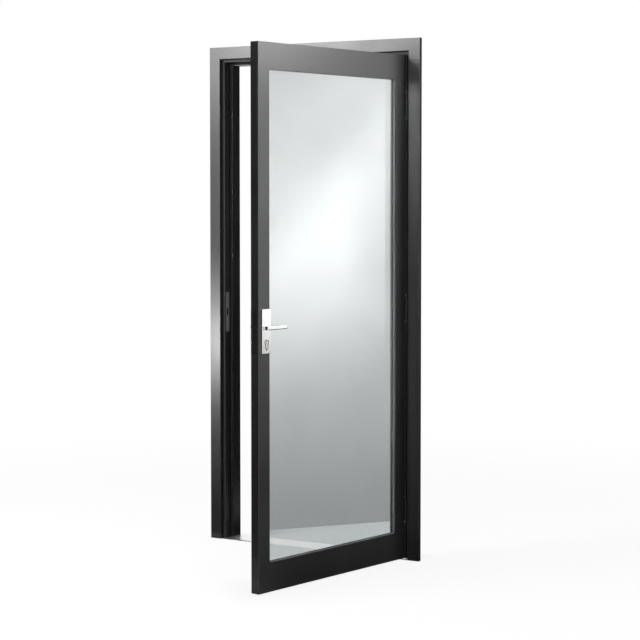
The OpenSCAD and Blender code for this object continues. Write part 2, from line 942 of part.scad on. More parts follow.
// Hub on the spindle with an arm that draws the latch's hook back
module follower() {
  color(dull_steel)
    on_leaf()
      at_spindle()
        difference() {
          union() {
            along_depth(lock_y - case_t / 2, case_t) circle(follower_r);
            rotate([0, -arm_lean, 0])
              block([-arm_t / 2, lock_y - tail_t / 2, 0], [arm_t / 2, lock_y + tail_t / 2, arm_r]);
          }
          along_depth(0, leaf_t) square(spindle_a + 2 * running, center = true);
        }
}

module spindle() {
  color(dull_steel)
    on_leaf()
      at_spindle() along_depth(-spindle_reach, leaf_t + 2 * spindle_reach) square(spindle_a, center = true);
}

// Handles

// Plate about the origin, its back on y = 0, with chamfered front edges
module plate_blank(w) {
  intersection() {
    along_depth(-plate_t, plate_t) round_rect(w, plate_h, plate_corner);
    translate([0, 0, -plate_h / 2]) linear_extrude(plate_h)
      polygon([[-w / 2, 0], [-w / 2, edge - plate_t], [edge - w / 2, -plate_t],
               [w / 2 - edge, -plate_t], [w / 2, edge - plate_t], [w / 2, 0]]);
    translate([-w / 2, 0, 0]) rotate([90, 0, 90]) linear_extrude(w)
      polygon([[0, -plate_h / 2], [edge - plate_t, -plate_h / 2], [-plate_t, edge - plate_h / 2],
               [-plate_t, plate_h / 2 - edge], [edge - plate_t, plate_h / 2], [0, plate_h / 2]]);
  }
}

module handle_plate(w) {
  difference() {
    translate([backset, 0, lock_z]) plate_blank(w);
    at_spindle() along_depth(-plate_t - cut, plate_t + 2 * cut) circle(lever_spigot_r + running);
    at_cylinder() along_depth(-plate_t - cut, plate_t + 2 * cut) cylinder_profile(cylinder_margin);
  }
}

module front_handle_plate() {
  color(bright_steel)
    on_leaf()
      difference() {
        handle_plate(front_plate_w);
        at_bolts() cylinder(h = leaf_t + plate_t + bolt_grip + air, r = bolt_r + running);
      }
}

module rear_handle_plate() {
  color(bright_steel)
    on_leaf()
      difference() {
        on_rear() handle_plate(rear_plate_w);
        at_bolts() screw(bolt_r + running, bolt_head_r + running, bolt_head_t, plate_t + cut);
      }
}

module handle_plate_bolts() {
  color(bright_steel)
    on_leaf() at_bolts() slotted_screw(bolt_r, bolt_head_r, bolt_head_t, leaf_t + plate_t + bolt_grip);
}

// Flat lever: a square neck, a filleted turn and a straight grip; a bevel cuts the neck's outer corner
module lever(bevel = 0) {
  back = -plate_t - air;
  grip = -lever_reach + lever_t;
  neck = lever_neck - lever_end;
  difference() {
    union() {
      intersection() {
        translate([0, 0, -lever_h / 2]) linear_extrude(lever_h)
          polygon(concat(
            [[-lever_end, back], [neck, back]],
            arc(neck + lever_fillet, grip + lever_fillet, lever_fillet, 180, 270),
            arc(lever_l - lever_tip_r, grip - lever_tip_r, lever_tip_r, 90, 0, 4),
            arc(lever_l - lever_tip_r, -lever_reach + lever_tip_r, lever_tip_r, 0, -90, 4),
            bevel > 0
              ? [[bevel - lever_end, -lever_reach], [-lever_end, bevel - lever_reach]]
              : arc(-lever_end + lever_turn_r, -lever_reach + lever_turn_r, lever_turn_r, 270, 180)
          ));
        translate([(lever_l - lever_end) / 2, 0, 0])
          along_depth(-lever_reach - cut, lever_reach + cut)
            round_rect(lever_l + lever_end, lever_h, lever_corner);
        translate([-lever_end - cut, 0, 0]) rotate([90, 0, 90]) linear_extrude(lever_l + lever_end + 2 * cut)
          round_rect(2 * lever_reach, lever_h, lever_round);
      }
      along_depth(back - cut, cut + air + lever_spigot_l) circle(lever_spigot_r);
    }
    along_depth(-lever_socket, lever_reach) square(spindle_a + 2 * running, center = true);
  }
}

module front_lever() {
  color(bright_steel) on_leaf() at_spindle() lever();
}

module rear_lever() {
  color(bright_steel) on_leaf() at_spindle() on_rear() lever(rear_bevel);
}

// Key cylinder

module cylinder_body() {
  front = -plate_t - cylinder_proud;
  length = leaf_t - 2 * front;
  color(bright_steel)
    on_leaf()
      at_cylinder()
        difference() {
          along_depth(front, length) cylinder_profile(0);
          along_depth(front - cut, length + 2 * cut) circle(plug_r + running);
          along_depth(lock_y - cam_slot / 2, cam_slot) circle(cam_lobe_r + air);
          translate([0, lock_y, -profile_drop + profile_w / 2])
            rotate([0, -90, 0]) cylinder(h = profile_r, r = bolt_r + running);
        }
}

// Long screw that holds the cylinder from the leaf's edge
module cylinder_screw() {
  color(satin_black)
    on_leaf()
      translate([0, lock_y, cylinder_z - profile_drop + profile_w / 2])
        rotate([0, 90, 0]) slotted_screw(bolt_r, bolt_head_r, forend_t, backset);
}

// Plug with a keyway, from the face of the cylinder to the cam slot
module plug() {
  front = -plate_t - cylinder_proud;
  difference() {
    along_depth(front, lock_y - cam_slot / 2 - front) circle(plug_r);
    translate([0, front, 0]) cube([keyway[0], 2 * keyway[2], keyway[1]], center = true);
  }
}

module front_cylinder_plug() {
  color(dull_steel)
    on_leaf()
      at_cylinder() {
        plug();
        along_depth(lock_y - cam_slot / 2 - cut, cut + cam_t) circle(plug_tail_r);
      }
}

module rear_cylinder_plug() {
  color(dull_steel) on_leaf() at_cylinder() on_rear() plug();
}

module cylinder_cam() {
  color(dull_steel)
    on_leaf()
      at_cylinder()
        along_depth(lock_y - cam_t / 2, cam_t)
          difference() {
            union() {
              circle(cam_r);
              rotate(cam_turn) {
                translate([0, -cam_lobe_w / 2]) square([cam_lobe_r - cam_lobe_w / 2, cam_lobe_w]);
                translate([cam_lobe_r - cam_lobe_w / 2, 0]) circle(cam_lobe_w / 2);
              }
            }
            circle(plug_tail_r + running);
          }
}

left_jamb();
right_jamb();
head_jamb();
left_architrave();
right_architrave();
head_architrave();
threshold();
left_frame_seal();
right_frame_seal();
head_frame_seal();
frame_corner_cleats();
strike_plate();
strike_box();
strike_magnet();
strike_screws();
frame_flap(hinge_z[0]);  // lower_frame_flap
frame_flap(hinge_z[1]);  // middle_frame_flap
frame_flap(hinge_z[2]);  // upper_frame_flap
hinge_pin(hinge_z[0]);  // lower_hinge_pin
hinge_pin(hinge_z[1]);  // middle_hinge_pin
hinge_pin(hinge_z[2]);  // upper_hinge_pin
frame_flap_screws();
hinge_cover_strips();
lock_stile();
hinge_stile();
top_rail();
bottom_rail();
leaf_corner_blocks();
stile_end_caps();
glass_pane();
rear_glass_pane();
glass_spacer();
front_glazing_gasket();
rear_glazing_gasket();
lock_side_bead();
hinge_side_bead();
top_bead();
bottom_bead();
setting_blocks();
leaf_flap(hinge_z[0]);  // lower_leaf_flap
leaf_flap(hinge_z[1]);  // middle_leaf_flap
leaf_flap(hinge_z[2]);  // upper_leaf_flap
leaf_flap_screws();
lock_case();
lock_forend();
forend_screws();
latch_bolt();
front_handle_plate();
rear_handle_plate();
handle_plate_bolts();
spindle();
follower();
front_lever();
rear_lever();
cylinder_body();
cylinder_screw();
front_cylinder_plug();
cylinder_cam();
rear_cylinder_plug();
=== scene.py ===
"""Finishes and studio of a black aluminium casement door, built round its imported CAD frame."""

import math

import bpy
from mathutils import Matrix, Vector


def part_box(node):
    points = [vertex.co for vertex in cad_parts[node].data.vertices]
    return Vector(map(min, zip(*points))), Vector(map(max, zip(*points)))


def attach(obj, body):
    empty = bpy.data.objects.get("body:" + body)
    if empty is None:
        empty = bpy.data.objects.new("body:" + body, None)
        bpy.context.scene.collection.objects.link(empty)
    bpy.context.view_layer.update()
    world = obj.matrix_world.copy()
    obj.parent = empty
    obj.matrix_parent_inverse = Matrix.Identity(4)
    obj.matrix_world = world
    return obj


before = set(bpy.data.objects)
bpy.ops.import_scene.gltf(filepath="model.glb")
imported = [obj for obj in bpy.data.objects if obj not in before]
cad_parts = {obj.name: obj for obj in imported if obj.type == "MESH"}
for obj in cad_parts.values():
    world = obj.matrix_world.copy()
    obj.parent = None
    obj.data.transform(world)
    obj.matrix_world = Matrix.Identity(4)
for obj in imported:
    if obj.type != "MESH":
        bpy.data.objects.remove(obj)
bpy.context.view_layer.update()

bl_info = {
    "name": "Casement door finishes",
    "version": (1, 0, 0),
    "blender": (4, 5, 0),
    "location": "View3D > Sidebar > Door",
    "description": "Finishes the frame, the leaf and the handle of a casement door and sets up its studio",
    "category": "Object",
}

LEAF_ANGLE = math.radians(79)
SENSOR_WIDTH = 36
WHITE = (1.0, 1.0, 1.0, 1.0)


# ---------------------------------------------------------------- settings


class DoorFinishes(bpy.types.PropertyGroup):
    """Colours and gloss of the door's finishes"""

    frame_black: bpy.props.FloatVectorProperty(
        name="Frame black", description="Coat of the jambs and architraves",
        subtype="COLOR", size=3, min=0, max=1, default=(0.0075, 0.0075, 0.008))
    leaf_black: bpy.props.FloatVectorProperty(
        name="Leaf black", description="Coat of the stiles, rails and beads",
        subtype="COLOR", size=3, min=0, max=1, default=(0.005, 0.005, 0.0054))
    # worn and highlit edge: a lighter coat along edges, partly wear and partly a painted highlight
    worn_and_highlit_edge: bpy.props.FloatVectorProperty(
        name="Worn edge", description="Coat where an edge is rubbed thin",
        subtype="COLOR", size=3, min=0, max=1, default=(0.05, 0.05, 0.052))
    hinge_black: bpy.props.FloatVectorProperty(
        name="Hinge black", description="Coat of the hinges, the latch and the lock's forend",
        subtype="COLOR", size=3, min=0, max=1, default=(0.010, 0.010, 0.0105))
    rubber: bpy.props.FloatVectorProperty(
        name="Rubber", description="Seals and glazing gaskets",
        subtype="COLOR", size=3, min=0, max=1, default=(0.016, 0.016, 0.017))
    plastic: bpy.props.FloatVectorProperty(
        name="Plastic", description="End caps, setting blocks and strike box",
        subtype="COLOR", size=3, min=0, max=1, default=(0.013, 0.013, 0.014))
    stainless: bpy.props.FloatVectorProperty(
        name="Stainless steel", description="Levers and handle plates",
        subtype="COLOR", size=3, min=0, max=1, default=(0.80, 0.80, 0.79))
    nickel: bpy.props.FloatVectorProperty(
        name="Nickel", description="Key cylinder",
        subtype="COLOR", size=3, min=0, max=1, default=(0.70, 0.69, 0.66))
    zinc: bpy.props.FloatVectorProperty(
        name="Zinc", description="Lock case, spindle and follower",
        subtype="COLOR", size=3, min=0, max=1, default=(0.56, 0.57, 0.58))
    dark_nickel: bpy.props.FloatVectorProperty(
        name="Dark nickel", description="Strike plate and its screws",
        subtype="COLOR", size=3, min=0, max=1, default=(0.30, 0.29, 0.28))
    bright_aluminium: bpy.props.FloatVectorProperty(
        name="Bright aluminium", description="Threshold",
        subtype="COLOR", size=3, min=0, max=1, default=(0.90, 0.90, 0.89))
    mill_aluminium: bpy.props.FloatVectorProperty(
        name="Mill aluminium", description="Corner cleats and blocks",
        subtype="COLOR", size=3, min=0, max=1, default=(0.36, 0.365, 0.37))
    glass_tint: bpy.props.FloatVectorProperty(
        name="Glass tint", description="Light that passes each pane",
        subtype="COLOR", size=3, min=0, max=1, default=(0.925, 0.95, 0.95))
    frame_roughness: bpy.props.FloatProperty(
        name="Frame roughness", description="Roughness of the frame's black coat",
        subtype="FACTOR", min=0, max=1, default=0.31)
    leaf_roughness: bpy.props.FloatProperty(
        name="Leaf roughness", description="Roughness of the leaf's black coat",
        subtype="FACTOR", min=0, max=1, default=0.42)
    steel_roughness: bpy.props.FloatProperty(
        name="Steel roughness", description="Roughness of the brushed handle",
        subtype="FACTOR", min=0, max=1, default=0.2)


class DoorStudio(bpy.types.PropertyGroup):
    """Floor, lamps and camera round the door"""

    floor_size: bpy.props.FloatProperty(
        name="Floor size", description="Side of the square floor",
        unit="LENGTH", min=4, max=200, default=80)
    world_level: bpy.props.FloatProperty(
        name="World level", description="Even light from all round on matt surfaces",
        subtype="FACTOR", min=0, max=2, default=0.62)
    camera_place: bpy.props.FloatVectorProperty(
        name="Camera place", description="Where the camera stands",
        subtype="TRANSLATION", unit="LENGTH", size=3, default=(3.641, -6.315, 1.470))
    camera_turn: bpy.props.FloatProperty(
        name="Camera turn", description="How far the camera looks to the left of +Y",
        unit="ROTATION", default=math.radians(29.916))
    camera_dip: bpy.props.FloatProperty(
        name="Camera dip", description="How far the camera looks down",
        unit="ROTATION", default=math.radians(2.585))
    camera_lens: bpy.props.FloatProperty(
        name="Focal length", description="Focal length in millimetres on a 36 mm sensor",
        unit="CAMERA", min=10, max=400, default=98.45)
    camera_shift: bpy.props.FloatProperty(
        name="Vertical shift", description="Shift of the picture as a share of its width",
        subtype="FACTOR", min=-1, max=1, default=-0.07)


# ---------------------------------------------------------------- shader nodes


def add(tree, kind, values=None, **settings):
    """A new node of that kind with its settings and input values."""
    made = tree.nodes.new(kind)
    for name, value in settings.items():
        setattr(made, name, value)
    for name, value in (values or {}).items():
        made.inputs[name].default_value = value
    return made


def join(tree, source, target):
    """A link from one socket to another."""
    tree.links.new(source, target)


def group(name, inputs, outputs):
    """An empty shader group with named sockets, and its two end nodes."""
    tree = bpy.data.node_groups.new(name, "ShaderNodeTree")
    for label, kind, value in inputs:
        socket = tree.interface.new_socket(name=label, in_out="INPUT", socket_type="NodeSocket" + kind)
        if value is not None:
            socket.default_value = value
    for label, kind in outputs:
        tree.interface.new_socket(name=label, in_out="OUTPUT", socket_type="NodeSocket" + kind)
    return tree, tree.nodes.new("NodeGroupInput"), tree.nodes.new("NodeGroupOutput")


def arithmetic(tree, operation, first, second=None, clamp=False):
    """A Math node on sockets or plain numbers, and its result."""
    made = add(tree, "ShaderNodeMath", operation=operation, use_clamp=clamp)
    for index, value in enumerate((first, second)):
        if isinstance(value, (int, float)):
            made.inputs[index].default_value = value
        elif value is not None:
            join(tree, value, made.inputs[index])
    return made.outputs[0]


def span(tree, value, low, high, to_low, to_high, smooth=True):
    """A value taken from one range to another, held at the ends."""
    ends = {"From Min": low, "From Max": high, "To Min": to_low, "To Max": to_high}
    made = add(tree, "ShaderNodeMapRange", ends, interpolation_type="SMOOTHSTEP" if smooth else "LINEAR")
    join(tree, value, made.inputs["Value"])
    return made.outputs["Result"]


def make_coat_grain():
    """Fine orange peel of a coat, with slow clouds of gloss."""
    tree, inside, outside = group(
        "Coat grain",
        [("Vector", "Vector", None), ("Grain size", "Float", 900.0), ("Cloud size", "Float", 3.0)],
        [("Height", "Float"), ("Cloud", "Float")])
    grain = add(tree, "ShaderNodeTexNoise", {"Detail": 2.0, "Roughness": 0.6})
    cloud = add(tree, "ShaderNodeTexNoise", {"Detail": 4.0, "Roughness": 0.55, "Distortion": 0.3})
    for texture, size in ((grain, "Grain size"), (cloud, "Cloud size")):
        join(tree, inside.outputs["Vector"], texture.inputs["Vector"])
        join(tree, inside.outputs[size], texture.inputs["Scale"])
    join(tree, grain.outputs["Fac"], outside.inputs["Height"])
    join(tree, span(tree, cloud.outputs["Fac"], 0.3, 0.7, 0.0, 1.0), outside.inputs["Cloud"])
    return tree


def make_brush_lines():
    """Long fine lines of brushed metal along the vector's Z."""
    tree, inside, outside = group(
        "Brush lines",
        [("Vector", "Vector", None), ("Line density", "Float", 1400.0), ("Line stretch", "Float", 0.02)],
        [("Height", "Float"), ("Streak", "Float")])
    squeeze = add(tree, "ShaderNodeCombineXYZ", {"X": 1.0, "Y": 1.0})
    join(tree, inside.outputs["Line stretch"], squeeze.inputs["Z"])
    stretch = add(tree, "ShaderNodeVectorMath", operation="MULTIPLY")
    join(tree, inside.outputs["Vector"], stretch.inputs[0])
    join(tree, squeeze.outputs["Vector"], stretch.inputs[1])
    fine = add(tree, "ShaderNodeTexNoise", {"Detail": 3.0, "Roughness": 0.7})
    join(tree, stretch.outputs["Vector"], fine.inputs["Vector"])
    join(tree, inside.outputs["Line density"], fine.inputs["Scale"])
    broad = add(tree, "ShaderNodeTexNoise", {"Detail": 2.0})
    join(tree, stretch.outputs["Vector"], broad.inputs["Vector"])
    join(tree, arithmetic(tree, "MULTIPLY", inside.outputs["Line density"], 0.12), broad.inputs["Scale"])
    join(tree, fine.outputs["Fac"], outside.inputs["Height"])
    join(tree, span(tree, broad.outputs["Fac"], 0.3, 0.7, 0.0, 1.0), outside.inputs["Streak"])
    return tree


# this edge mask lightens coats along their edges as wear and painted highlight, and bare metal as a painted
# highlight
def make_rubbed_and_highlit_edges():
    """Where a surface turns sharply, broken up by noise, and the softened normal there."""
    tree, inside, outside = group(
        "Rubbed and highlit edges",
        [("Vector", "Vector", None), ("Edge radius", "Float", 0.0008), ("Break-up", "Float", 60.0)],
        [("Edge", "Float"), ("Normal", "Vector")])
    bevel = add(tree, "ShaderNodeBevel", samples=4)
    join(tree, inside.outputs["Edge radius"], bevel.inputs["Radius"])
    facing = add(tree, "ShaderNodeVectorMath", operation="DOT_PRODUCT")
    join(tree, bevel.outputs["Normal"], facing.inputs[0])
    join(tree, add(tree, "ShaderNodeNewGeometry").outputs["Normal"], facing.inputs[1])
    edge = span(tree, facing.outputs["Value"], 0.98, 0.8, 0.0, 1.0)
    noise = add(tree, "ShaderNodeTexNoise", {"Detail": 4.0})
    join(tree, inside.outputs["Vector"], noise.inputs["Vector"])
    join(tree, inside.outputs["Break-up"], noise.inputs["Scale"])
    broken = span(tree, noise.outputs["Fac"], 0.35, 0.65, 0.3, 1.0)
    join(tree, arithmetic(tree, "MULTIPLY", edge, broken), outside.inputs["Edge"])
    join(tree, bevel.outputs["Normal"], outside.inputs["Normal"])
    return tree


def make_settled_dust():
    """A thin, patchy layer on faces that look up."""
    tree, inside, outside = group(
        "Settled dust", [("Vector", "Vector", None), ("Patch size", "Float", 30.0)], [("Dust", "Float")])
    upward = add(tree, "ShaderNodeSeparateXYZ")
    join(tree, add(tree, "ShaderNodeNewGeometry").outputs["Normal"], upward.inputs["Vector"])
    noise = add(tree, "ShaderNodeTexNoise", {"Detail": 6.0, "Roughness": 0.65})
    join(tree, inside.outputs["Vector"], noise.inputs["Vector"])
    join(tree, inside.outputs["Patch size"], noise.inputs["Scale"])
    patches = span(tree, noise.outputs["Fac"], 0.35, 0.7, 0.2, 1.0)
    up = span(tree, upward.outputs["Z"], 0.7, 1.0, 0.0, 1.0)
    join(tree, arithmetic(tree, "MULTIPLY", up, patches), outside.inputs["Dust"])
    return tree


MAKERS = {"Coat grain": make_coat_grain, "Brush lines": make_brush_lines,
          "Rubbed and highlit edges": make_rubbed_and_highlit_edges, "Settled dust": make_settled_dust}


def place_group(tree, name, vector, values=None):
    """One of the shared groups placed in a material, made the first time."""
    made = tree.nodes.new("ShaderNodeGroup")
    made.node_tree = bpy.data.node_groups.get(name) or MAKERS[name]()
    join(tree, vector, made.inputs["Vector"])
    for label, value in (values or {}).items():
        made.inputs[label].default_value = value
    return made


def blend_colour(tree, factor, first, second):
    """A mix of two colours by a factor socket."""
    made = add(tree, "ShaderNodeMix", data_type="RGBA")
    join(tree, factor, made.inputs["Factor"])
    for socket, value in ((made.inputs[6], first), (made.inputs[7], second)):
        if hasattr(value, "links"):
            join(tree, value, socket)
        else:
            socket.default_value = (*value, 1.0)
    return made.outputs[2]


def empty_material(name):
    """A material without nodes, and its tree."""
    material = bpy.data.materials.new(name)
    material.use_nodes = True
    material.node_tree.nodes.clear()
    return material, material.node_tree


def new_finish(name):
    """A material with its shader, its coordinates and its output."""
    material, tree = empty_material(name)
    shader = add(tree, "ShaderNodeBsdfPrincipled")
    output = add(tree, "ShaderNodeOutputMaterial")
    join(tree, shader.outputs["BSDF"], output.inputs["Surface"])
    place = add(tree, "ShaderNodeTexCoord")
    return material, tree, shader, place.outputs["Object"]


def shade(colour, factor):
    """A colour made lighter or darker."""
    return tuple(min(1.0, channel * factor) for channel in colour)


RELIEF_DEPTH = 0.0001


def roughen(tree, shader, height, normal, strength):
    """Fine relief on a shader, over the softened normal of its edges."""
    bump = add(tree, "ShaderNodeBump", {"Strength": strength, "Distance": RELIEF_DEPTH})
    join(tree, height, bump.inputs["Height"])
    join(tree, normal, bump.inputs["Normal"])
    join(tree, bump.outputs["Normal"], shader.inputs["Normal"])


# the coats' drift of tone and of roughness, and the dust's colour, cover and added roughness
COAT_TONES = (0.85, 1.15)
COAT_DRIFT = 0.03
DUST = (0.32, 0.31, 0.29)
DUST_COVER = 0.05
DUST_DULLING = 0.15

# the bare metals' drift of tone and of roughness, the painted highlight along their edges and the smudges
STREAK_TONES = (0.95, 1.04)
STREAK_DRIFT = 0.025
EDGE_HIGHLIGHT_TONE = 1.12
EDGE_HIGHLIGHT_COVER = 0.4
SMUDGE = (0.5, 1.0, 0.0, 0.05)


def coated(name, colour, edge_wear_and_highlight, roughness, specular, grain_size, peel, edge_radius=0.0008, wear_and_highlight=0.35, dull=None):
    """A dark coat: clouds of tone and gloss, fine peel, edges lighter from wear and from a painted highlight, a
    little dust and perhaps a dull face.
    """
    material, tree, shader, place = new_finish(name)
    grain = place_group(tree, "Coat grain", place, {"Grain size": grain_size})
    rubbed = place_group(tree, "Rubbed and highlit edges", place, {"Edge radius": edge_radius})
    dust = place_group(tree, "Settled dust", place)
    tone = blend_colour(tree, grain.outputs["Cloud"], *(shade(colour, drift) for drift in COAT_TONES))
    # wear and painted highlight: the edge mask lightens the coat along its edges
    wear_and_highlight_share = arithmetic(tree, "MULTIPLY", rubbed.outputs["Edge"], wear_and_highlight)
    tone = blend_colour(tree, wear_and_highlight_share, tone, edge_wear_and_highlight)
    tone = blend_colour(tree, arithmetic(tree, "MULTIPLY", dust.outputs["Dust"], DUST_COVER), tone, DUST)
    join(tree, tone, shader.inputs["Base Color"])
    drift = (roughness - COAT_DRIFT, roughness + COAT_DRIFT)
    gloss = span(tree, grain.outputs["Cloud"], 0.0, 1.0, *drift, smooth=False)
    dulled = arithmetic(tree, "ADD", gloss, arithmetic(tree, "MULTIPLY", dust.outputs["Dust"], DUST_DULLING))
    if dull:
        middle, reach, added = dull
        depth = add(tree, "ShaderNodeSeparateXYZ")
        join(tree, place, depth.inputs["Vector"])
        inside = arithmetic(tree, "COMPARE", depth.outputs["Y"], middle)
        inside.node.inputs[2].default_value = reach
        dulled = arithmetic(tree, "ADD", dulled, arithmetic(tree, "MULTIPLY", inside, added))
    join(tree, dulled, shader.inputs["Roughness"])
    roughen(tree, shader, grain.outputs["Height"], rubbed.outputs["Normal"], peel)
    shader.inputs["Specular IOR Level"].default_value = specular
    return material


def brushed(name, colour, roughness, turn, density=1400.0, depth=0.08, edge_radius=0.0006):
    """Bare metal with brush lines along the turned Z axis, and a painted highlight along its edges."""
    material, tree, shader, place = new_finish(name)
    turned = add(tree, "ShaderNodeMapping", {"Rotation": turn}, vector_type="POINT")
    join(tree, place, turned.inputs["Vector"])
    lines = place_group(tree, "Brush lines", turned.outputs["Vector"], {"Line density": density})
    rubbed = place_group(tree, "Rubbed and highlit edges", place, {"Edge radius": edge_radius})
    grain = place_group(tree, "Coat grain", place, {"Cloud size": 9.0})
    tone = blend_colour(tree, lines.outputs["Streak"], *(shade(colour, drift) for drift in STREAK_TONES))
    # painted highlight: the base colour is made brighter along the edges
    painted_edge_highlight = arithmetic(tree, "MULTIPLY", rubbed.outputs["Edge"], EDGE_HIGHLIGHT_COVER)
    tone = blend_colour(tree, painted_edge_highlight, tone, shade(colour, EDGE_HIGHLIGHT_TONE))
    join(tree, tone, shader.inputs["Base Color"])
    drift = (roughness - STREAK_DRIFT, roughness + STREAK_DRIFT)
    streaked = span(tree, lines.outputs["Streak"], 0.0, 1.0, *drift, smooth=False)
    smudged = span(tree, grain.outputs["Cloud"], *SMUDGE)
    join(tree, arithmetic(tree, "ADD", streaked, smudged), shader.inputs["Roughness"])
    roughen(tree, shader, lines.outputs["Height"], rubbed.outputs["Normal"], depth)
    shader.inputs["Metallic"].default_value = 1.0
    return material


GLASS_IOR = 1.5
GLASS_TONES = (0.99, 1.01)


def tinted_pane(name, tint):
    """Clear glass with a faint tint that drifts a little over the pane."""
    material, tree, shader, place = new_finish(name)
    grain = place_group(tree, "Coat grain", place, {"Grain size": 60.0, "Cloud size": 4.0})
    tone = blend_colour(tree, grain.outputs["Cloud"], *(shade(tint, drift) for drift in GLASS_TONES))
    join(tree, tone, shader.inputs["Base Color"])
    shader.inputs["Roughness"].default_value = 0.0
    shader.inputs["Transmission Weight"].default_value = 1.0
    shader.inputs["IOR"].default_value = GLASS_IOR
    return material


def dress(slot, material):
    """Gives the material to every CAD node of that slot."""
    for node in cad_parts.values():
        for place in node.material_slots:
            if place.material and place.material.name == slot:
                place.material = material


# ---------------------------------------------------------------- finishes


# which way the brush lines run
LINES_ALONG_X = (0, math.radians(90), 0)
LINES_ALONG_Z = (0, 0, 0)
LINES_ON_LEAF = (0, 0, -LEAF_ANGLE)

# the jambs' duller rebate face: its place in depth, how far from there it is dull, and the added roughness
REBATE_DULLING = (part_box("left_jamb")[0].y, 0.004, 0.3)


class DOOR_OT_finish_frame(bpy.types.Operator):
    """Coats the jambs and architraves and finishes the threshold, the seals and the cleats"""

    bl_idname = "door.finish_frame"
    bl_label = "Finish frame"

    def execute(self, context):
        look = context.scene.door_finishes
        dress("frame_aluminium", coated(
            "Black_frame_coat", look.frame_black, look.worn_and_highlit_edge, look.frame_roughness,
            specular=0.6, grain_size=900.0, peel=0.06, dull=REBATE_DULLING))
        dress("threshold_aluminium", brushed(
            "Bright_threshold", look.bright_aluminium, roughness=0.32, turn=LINES_ALONG_X))
        dress("seal_rubber", coated(
            "Seal_rubber", look.rubber, look.rubber, roughness=0.62,
            specular=0.35, grain_size=1600.0, peel=0.25, wear_and_highlight=0.0))
        dress("cleat_aluminium", brushed(
            "Mill_aluminium", look.mill_aluminium, roughness=0.65, turn=LINES_ALONG_Z, density=700.0))
        return {"FINISHED"}


class DOOR_OT_finish_leaf(bpy.types.Operator):
    """Coats the stiles, rails and beads and finishes the glass and the plastic parts"""

    bl_idname = "door.finish_leaf"
    bl_label = "Finish leaf"

    def execute(self, context):
        look = context.scene.door_finishes
        dress("leaf_aluminium", coated(
            "Black_leaf_coat", look.leaf_black, look.worn_and_highlit_edge, look.leaf_roughness,
            specular=1.0, grain_size=900.0, peel=0.06))
        dress("tinted_glass", tinted_pane("Tinted_glass", look.glass_tint))
        dress("black_plastic", coated(
            "Black_plastic", look.plastic, look.plastic, roughness=0.48,
            specular=0.4, grain_size=1200.0, peel=0.2, wear_and_highlight=0.0))
        return {"FINISHED"}


# the wiper's section from the hinge axis with the leaf shut: lowest and highest corner
WIPER_LOW = (-0.0020, 0.0054)
WIPER_HIGH = (-0.0010, 0.0080)
WIPER_GAP = 0.004
WIPER_ROUND = 0.0003


def lay_wiper():
    """Four lengths of rubber wiper on the leaf's hinge edge, between the hinges."""
    pin_low, pin_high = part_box("lower_hinge_pin")
    axis = (pin_low + pin_high) / 2
    ends = [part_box("hinge_stile")[0].z]
    for flap in ("lower_leaf_flap", "middle_leaf_flap", "upper_leaf_flap"):
        low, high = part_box(flap)
        ends += [low.z, high.z]
    ends.append(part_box("hinge_stile")[1].z)
    middle = [(low + high) / 2 for low, high in zip(WIPER_LOW, WIPER_HIGH)]
    section = [high - low for low, high in zip(WIPER_LOW, WIPER_HIGH)]
    lengths = []
    bpy.ops.object.select_all(action="DESELECT")
    for low, high in zip(ends[0::2], ends[1::2]):
        bpy.ops.mesh.primitive_cube_add(size=1, location=(*middle, (low + high) / 2))
        length = bpy.context.active_object
        length.scale = (*section, high - low - WIPER_GAP)
        bpy.ops.object.transform_apply(location=True, rotation=True, scale=True)
        bpy.ops.object.mode_set(mode="EDIT")
        bpy.ops.mesh.select_all(action="SELECT")
        bpy.ops.mesh.bevel(offset=WIPER_ROUND, segments=2, affect="EDGES")
        bpy.ops.object.mode_set(mode="OBJECT")
        lengths.append(length)
    for length in lengths:
        length.select_set(True)
    bpy.context.view_layer.objects.active = lengths[0]
    bpy.ops.object.join()
    wiper = bpy.context.active_object
    wiper.name = "hinge_wiper"
    wiper.location = (axis.x, axis.y, 0)
    wiper.rotation_euler = (0, 0, LEAF_ANGLE)
    bpy.ops.object.transform_apply(location=True, rotation=True, scale=True)
    return wiper


class DOOR_OT_lay_wiper(bpy.types.Operator):
    """Lays the rubber wiper along the leaf's hinge edge"""

    bl_idname = "door.lay_wiper"
    bl_label = "Lay wiper"

    def execute(self, context):
        wiper = lay_wiper()
        wiper.data.materials.append(bpy.data.materials["Seal_rubber"])
        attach(wiper, "leaf")
        return {"FINISHED"}


class DOOR_OT_finish_hinges(bpy.types.Operator):
    """Coats the hinges, their screws, the latch and the lock's forend"""

    bl_idname = "door.finish_hinges"
    bl_label = "Finish hinges"

    def execute(self, context):
        look = context.scene.door_finishes
        dress("black_steel", coated(
            "Black_hinge_coat", look.hinge_black, look.worn_and_highlit_edge, roughness=0.33,
            specular=0.35, grain_size=1100.0, peel=0.1, edge_radius=0.0005, wear_and_highlight=0.6))
        return {"FINISHED"}


class DOOR_OT_finish_handle(bpy.types.Operator):
    """Brushes the levers, the plates, the key cylinder and the lock's bare metal"""

    bl_idname = "door.finish_handle"
    bl_label = "Finish handle and lock"

    def execute(self, context):
        look = context.scene.door_finishes
        dress("handle_steel", brushed(
            "Brushed_stainless", look.stainless, look.steel_roughness, LINES_ON_LEAF, depth=0.05))
        dress("cylinder_steel", brushed(
            "Satin_nickel", look.nickel, roughness=0.26, turn=LINES_ON_LEAF, density=2000.0))
        dress("lock_steel", brushed(
            "Zinc_plate", look.zinc, roughness=0.38, turn=LINES_ALONG_Z, density=900.0))
        dress("strike_steel", brushed(
            "Dark_nickel", look.dark_nickel, roughness=0.45, turn=LINES_ALONG_Z, density=900.0))
        dress("magnet_metal", brushed(
            "Magnet_nickel", look.nickel, roughness=0.3, turn=LINES_ALONG_Z, density=900.0))
        return {"FINISHED"}


